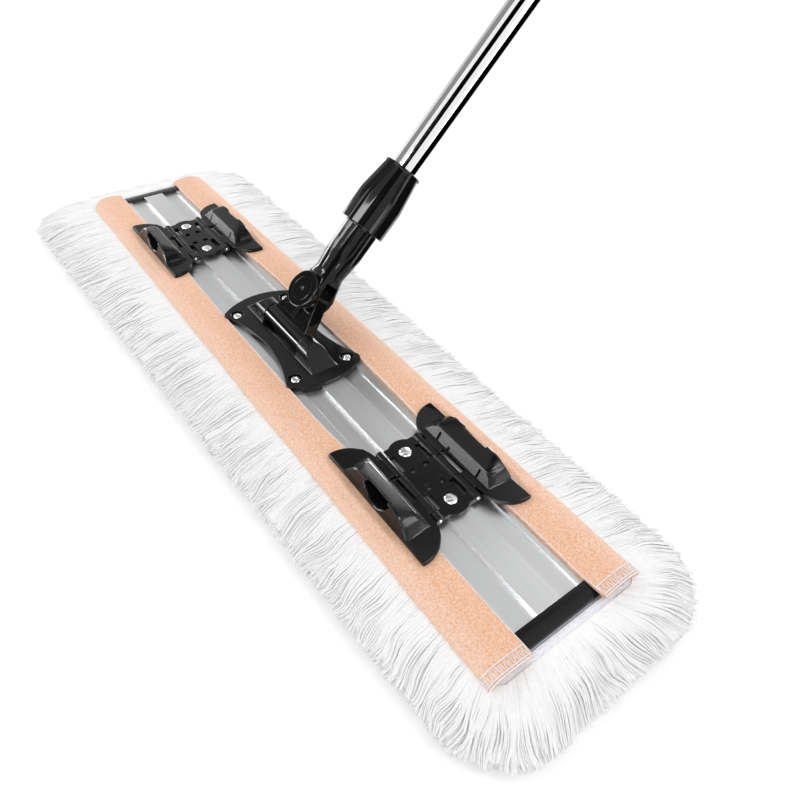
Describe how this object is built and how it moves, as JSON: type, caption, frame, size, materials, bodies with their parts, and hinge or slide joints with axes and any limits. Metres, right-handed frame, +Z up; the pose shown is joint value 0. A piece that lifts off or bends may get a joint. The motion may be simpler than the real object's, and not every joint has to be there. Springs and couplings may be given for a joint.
{
  "type": "dust mop",
  "caption": "Flat dust mop: a fringed yarn pad folded round an aluminium plate, held by sprung wing clamps, on a two-axis swivel with a telescopic steel pole.",
  "frame": {"origin": "centre of the pad's underside, on the floor under the middle of the plate", "axes": "+X along the plate towards its near end, +Y towards the side that the pole leans to, +Z up"},
  "size_m": [0.693, 0.642, 0.5558],
  "materials": {
    "yarn": "white cut-pile yarn",
    "tape": "woven white backing and binding tape",
    "fleece": "peach brushed fleece",
    "plate_aluminium": "satin anodised extrusion",
    "black_plastic": "semi-gloss moulded black plastic",
    "bright_steel": "bright steel",
    "pole_chrome": "polished steel tube",
    "grip_rubber": "matte black rubber"
  },
  "bodies": {
    "head": {"pad_yarn": "yarn", "pad_backing": "tape", "front_flap": "fleece", "rear_flap": "fleece", "near_end_binding": "tape", "far_end_binding": "tape", "frame_plate": "plate_aluminium", "near_end_cap": "black_plastic", "far_end_cap": "black_plastic", "near_clamp_base": "black_plastic", "far_clamp_base": "black_plastic", "near_clamp_rivets": "bright_steel", "far_clamp_rivets": "bright_steel", "near_hinge_pins": "bright_steel", "far_hinge_pins": "bright_steel", "near_front_spring": "bright_steel", "near_rear_spring": "bright_steel", "far_front_spring": "bright_steel", "far_rear_spring": "bright_steel", "swivel_base": "black_plastic", "base_screws": "bright_steel", "axle_pin": "bright_steel"},
    "link": {"swivel_link": "black_plastic"},
    "handle": {"handle_socket": "black_plastic", "swing_pin": "bright_steel", "front_pivot_cap": "black_plastic", "rear_pivot_cap": "black_plastic", "lower_tube": "pole_chrome", "pole_lock_body": "black_plastic"},
    "collar": {"collar_nut": "black_plastic"},
    "pole_lock": {"pole_lock_nut": "black_plastic"},
    "pole_top": {"upper_tube": "pole_chrome", "slide_bush": "black_plastic", "grip": "grip_rubber", "hang_cap": "black_plastic"},
    "near_front_jaw": {"near_front_wing": "black_plastic"},
    "near_rear_jaw": {"near_rear_wing": "black_plastic"},
    "far_front_jaw": {"far_front_wing": "black_plastic"},
    "far_rear_jaw": {"far_rear_wing": "black_plastic"}
  },
  "joints": [
    {"name": "pole_lean", "type": "hinge", "parent": "head", "child": "link", "pos_m": [0, 0, 0.0373], "axis": [-1, 0, 0], "range_deg": [-111, 19]},
    {"name": "pole_swing", "type": "hinge", "parent": "link", "child": "handle", "pos_m": [0, 0.0241, 0.06057], "axis": [0, 0.6947, -0.7193], "range_deg": [-70, 70]},
    {"name": "collar_turn", "type": "hinge", "parent": "handle", "child": "collar", "pos_m": [0, 0.0705, 0.10538], "axis": [0, 0.7193, 0.6947], "range_deg": [0, 180]},
    {"name": "lock_turn", "type": "hinge", "parent": "handle", "child": "pole_lock", "pos_m": [0, 0.42261, 0.44541], "axis": [0, 0.7193, 0.6947], "range_deg": [0, 90]},
    {"name": "pole_extend", "type": "slide", "parent": "handle", "child": "pole_top", "axis": [0, 0.7193, 0.6947], "range_m": [0, 0.36]},
    {"name": "near_front_clamp", "type": "hinge", "parent": "head", "child": "near_front_jaw", "pos_m": [0.1795, -0.0155, 0.0311], "axis": [-1, 0, 0], "range_deg": [0, 65], "stiffness_Nm_per_rad": 0.3, "springref_deg": -28.65, "deforming": ["near_front_spring"]},
    {"name": "near_rear_clamp", "type": "hinge", "parent": "head", "child": "near_rear_jaw", "pos_m": [0.1795, 0.0155, 0.0311], "axis": [1, 0, 0], "range_deg": [0, 65], "stiffness_Nm_per_rad": 0.3, "springref_deg": -28.65, "deforming": ["near_rear_spring"]},
    {"name": "far_front_clamp", "type": "hinge", "parent": "head", "child": "far_front_jaw", "pos_m": [-0.1795, -0.0155, 0.0311], "axis": [-1, 0, 0], "range_deg": [0, 65], "stiffness_Nm_per_rad": 0.3, "springref_deg": -28.65, "deforming": ["far_front_spring"]},
    {"name": "far_rear_clamp", "type": "hinge", "parent": "head", "child": "far_rear_jaw", "pos_m": [-0.1795, 0.0155, 0.0311], "axis": [1, 0, 0], "range_deg": [0, 65], "stiffness_Nm_per_rad": 0.3, "springref_deg": -28.65, "deforming": ["far_rear_spring"]}
  ]
}
